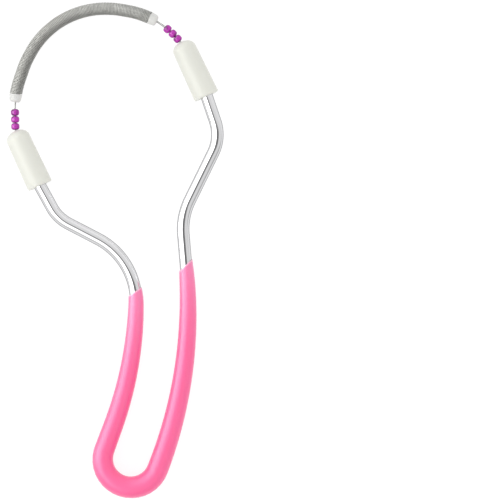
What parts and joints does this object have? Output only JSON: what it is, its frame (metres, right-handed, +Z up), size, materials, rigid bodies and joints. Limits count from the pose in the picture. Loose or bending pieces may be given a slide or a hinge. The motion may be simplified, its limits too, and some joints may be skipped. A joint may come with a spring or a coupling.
{
  "type": "facial hair removal spring",
  "caption": "Bent-rod hair removal tool: a loop handle dipped in soft vinyl, capped arms, and a close-wound coil bowed between them on a beaded cable.",
  "frame": {"origin": "middle of the footprint of the tool lying flat, on the surface it lies on", "axes": "+Y from the handle's closed end to the bowed coil, +Z up from the surface, +X to the right as seen from above"},
  "size_m": [0.0831, 0.1904, 0.0099],
  "materials": {
    "rod_steel": "polished bright",
    "grip_vinyl": "glossy soft vinyl",
    "white_plastic": "satin",
    "bead_purple": "glossy",
    "coil_steel": "drawn wire",
    "cable_steel": "drawn",
    "crimp_steel": "plated"
  },
  "bodies": {
    "frame": {"frame_rod": "rod_steel", "handle_grip": "grip_vinyl", "left_cap": "white_plastic", "right_cap": "white_plastic", "cable": "cable_steel", "left_crimp": "crimp_steel", "right_crimp": "crimp_steel", "left_bush": "white_plastic", "right_bush": "white_plastic", "coil_spring": "coil_steel"},
    "left_bead_1_body": {"left_bead_1": "bead_purple"},
    "left_bead_2_body": {"left_bead_2": "bead_purple"},
    "left_bead_3_body": {"left_bead_3": "bead_purple"},
    "right_bead_1_body": {"right_bead_1": "bead_purple"},
    "right_bead_2_body": {"right_bead_2": "bead_purple"},
    "right_bead_3_body": {"right_bead_3": "bead_purple"}
  },
  "joints": [
    {"name": "left_bead_1_spin", "type": "hinge", "parent": "frame", "child": "left_bead_1_body", "pos_m": [-0.03833, 0.04752, 0.00495], "axis": [-0.0223, 0.9998, 0], "continuous": true},
    {"name": "left_bead_2_spin", "type": "hinge", "parent": "frame", "child": "left_bead_2_body", "pos_m": [-0.03839, 0.05021, 0.00495], "axis": [-0.0223, 0.9998, 0], "continuous": true},
    {"name": "left_bead_3_spin", "type": "hinge", "parent": "frame", "child": "left_bead_3_body", "pos_m": [-0.03845, 0.05291, 0.00495], "axis": [-0.0223, 0.9998, 0], "continuous": true},
    {"name": "right_bead_1_spin", "type": "hinge", "parent": "frame", "child": "right_bead_1_body", "pos_m": [0.02398, 0.08117, 0.00495], "axis": [0.672, -0.7405, 0], "continuous": true},
    {"name": "right_bead_2_spin", "type": "hinge", "parent": "frame", "child": "right_bead_2_body", "pos_m": [0.02211, 0.08313, 0.00495], "axis": [0.7178, -0.6962, 0], "continuous": true},
    {"name": "right_bead_3_spin", "type": "hinge", "parent": "frame", "child": "right_bead_3_body", "pos_m": [0.0201, 0.08493, 0.00495], "axis": [0.7733, -0.634, 0], "continuous": true}
  ]
}
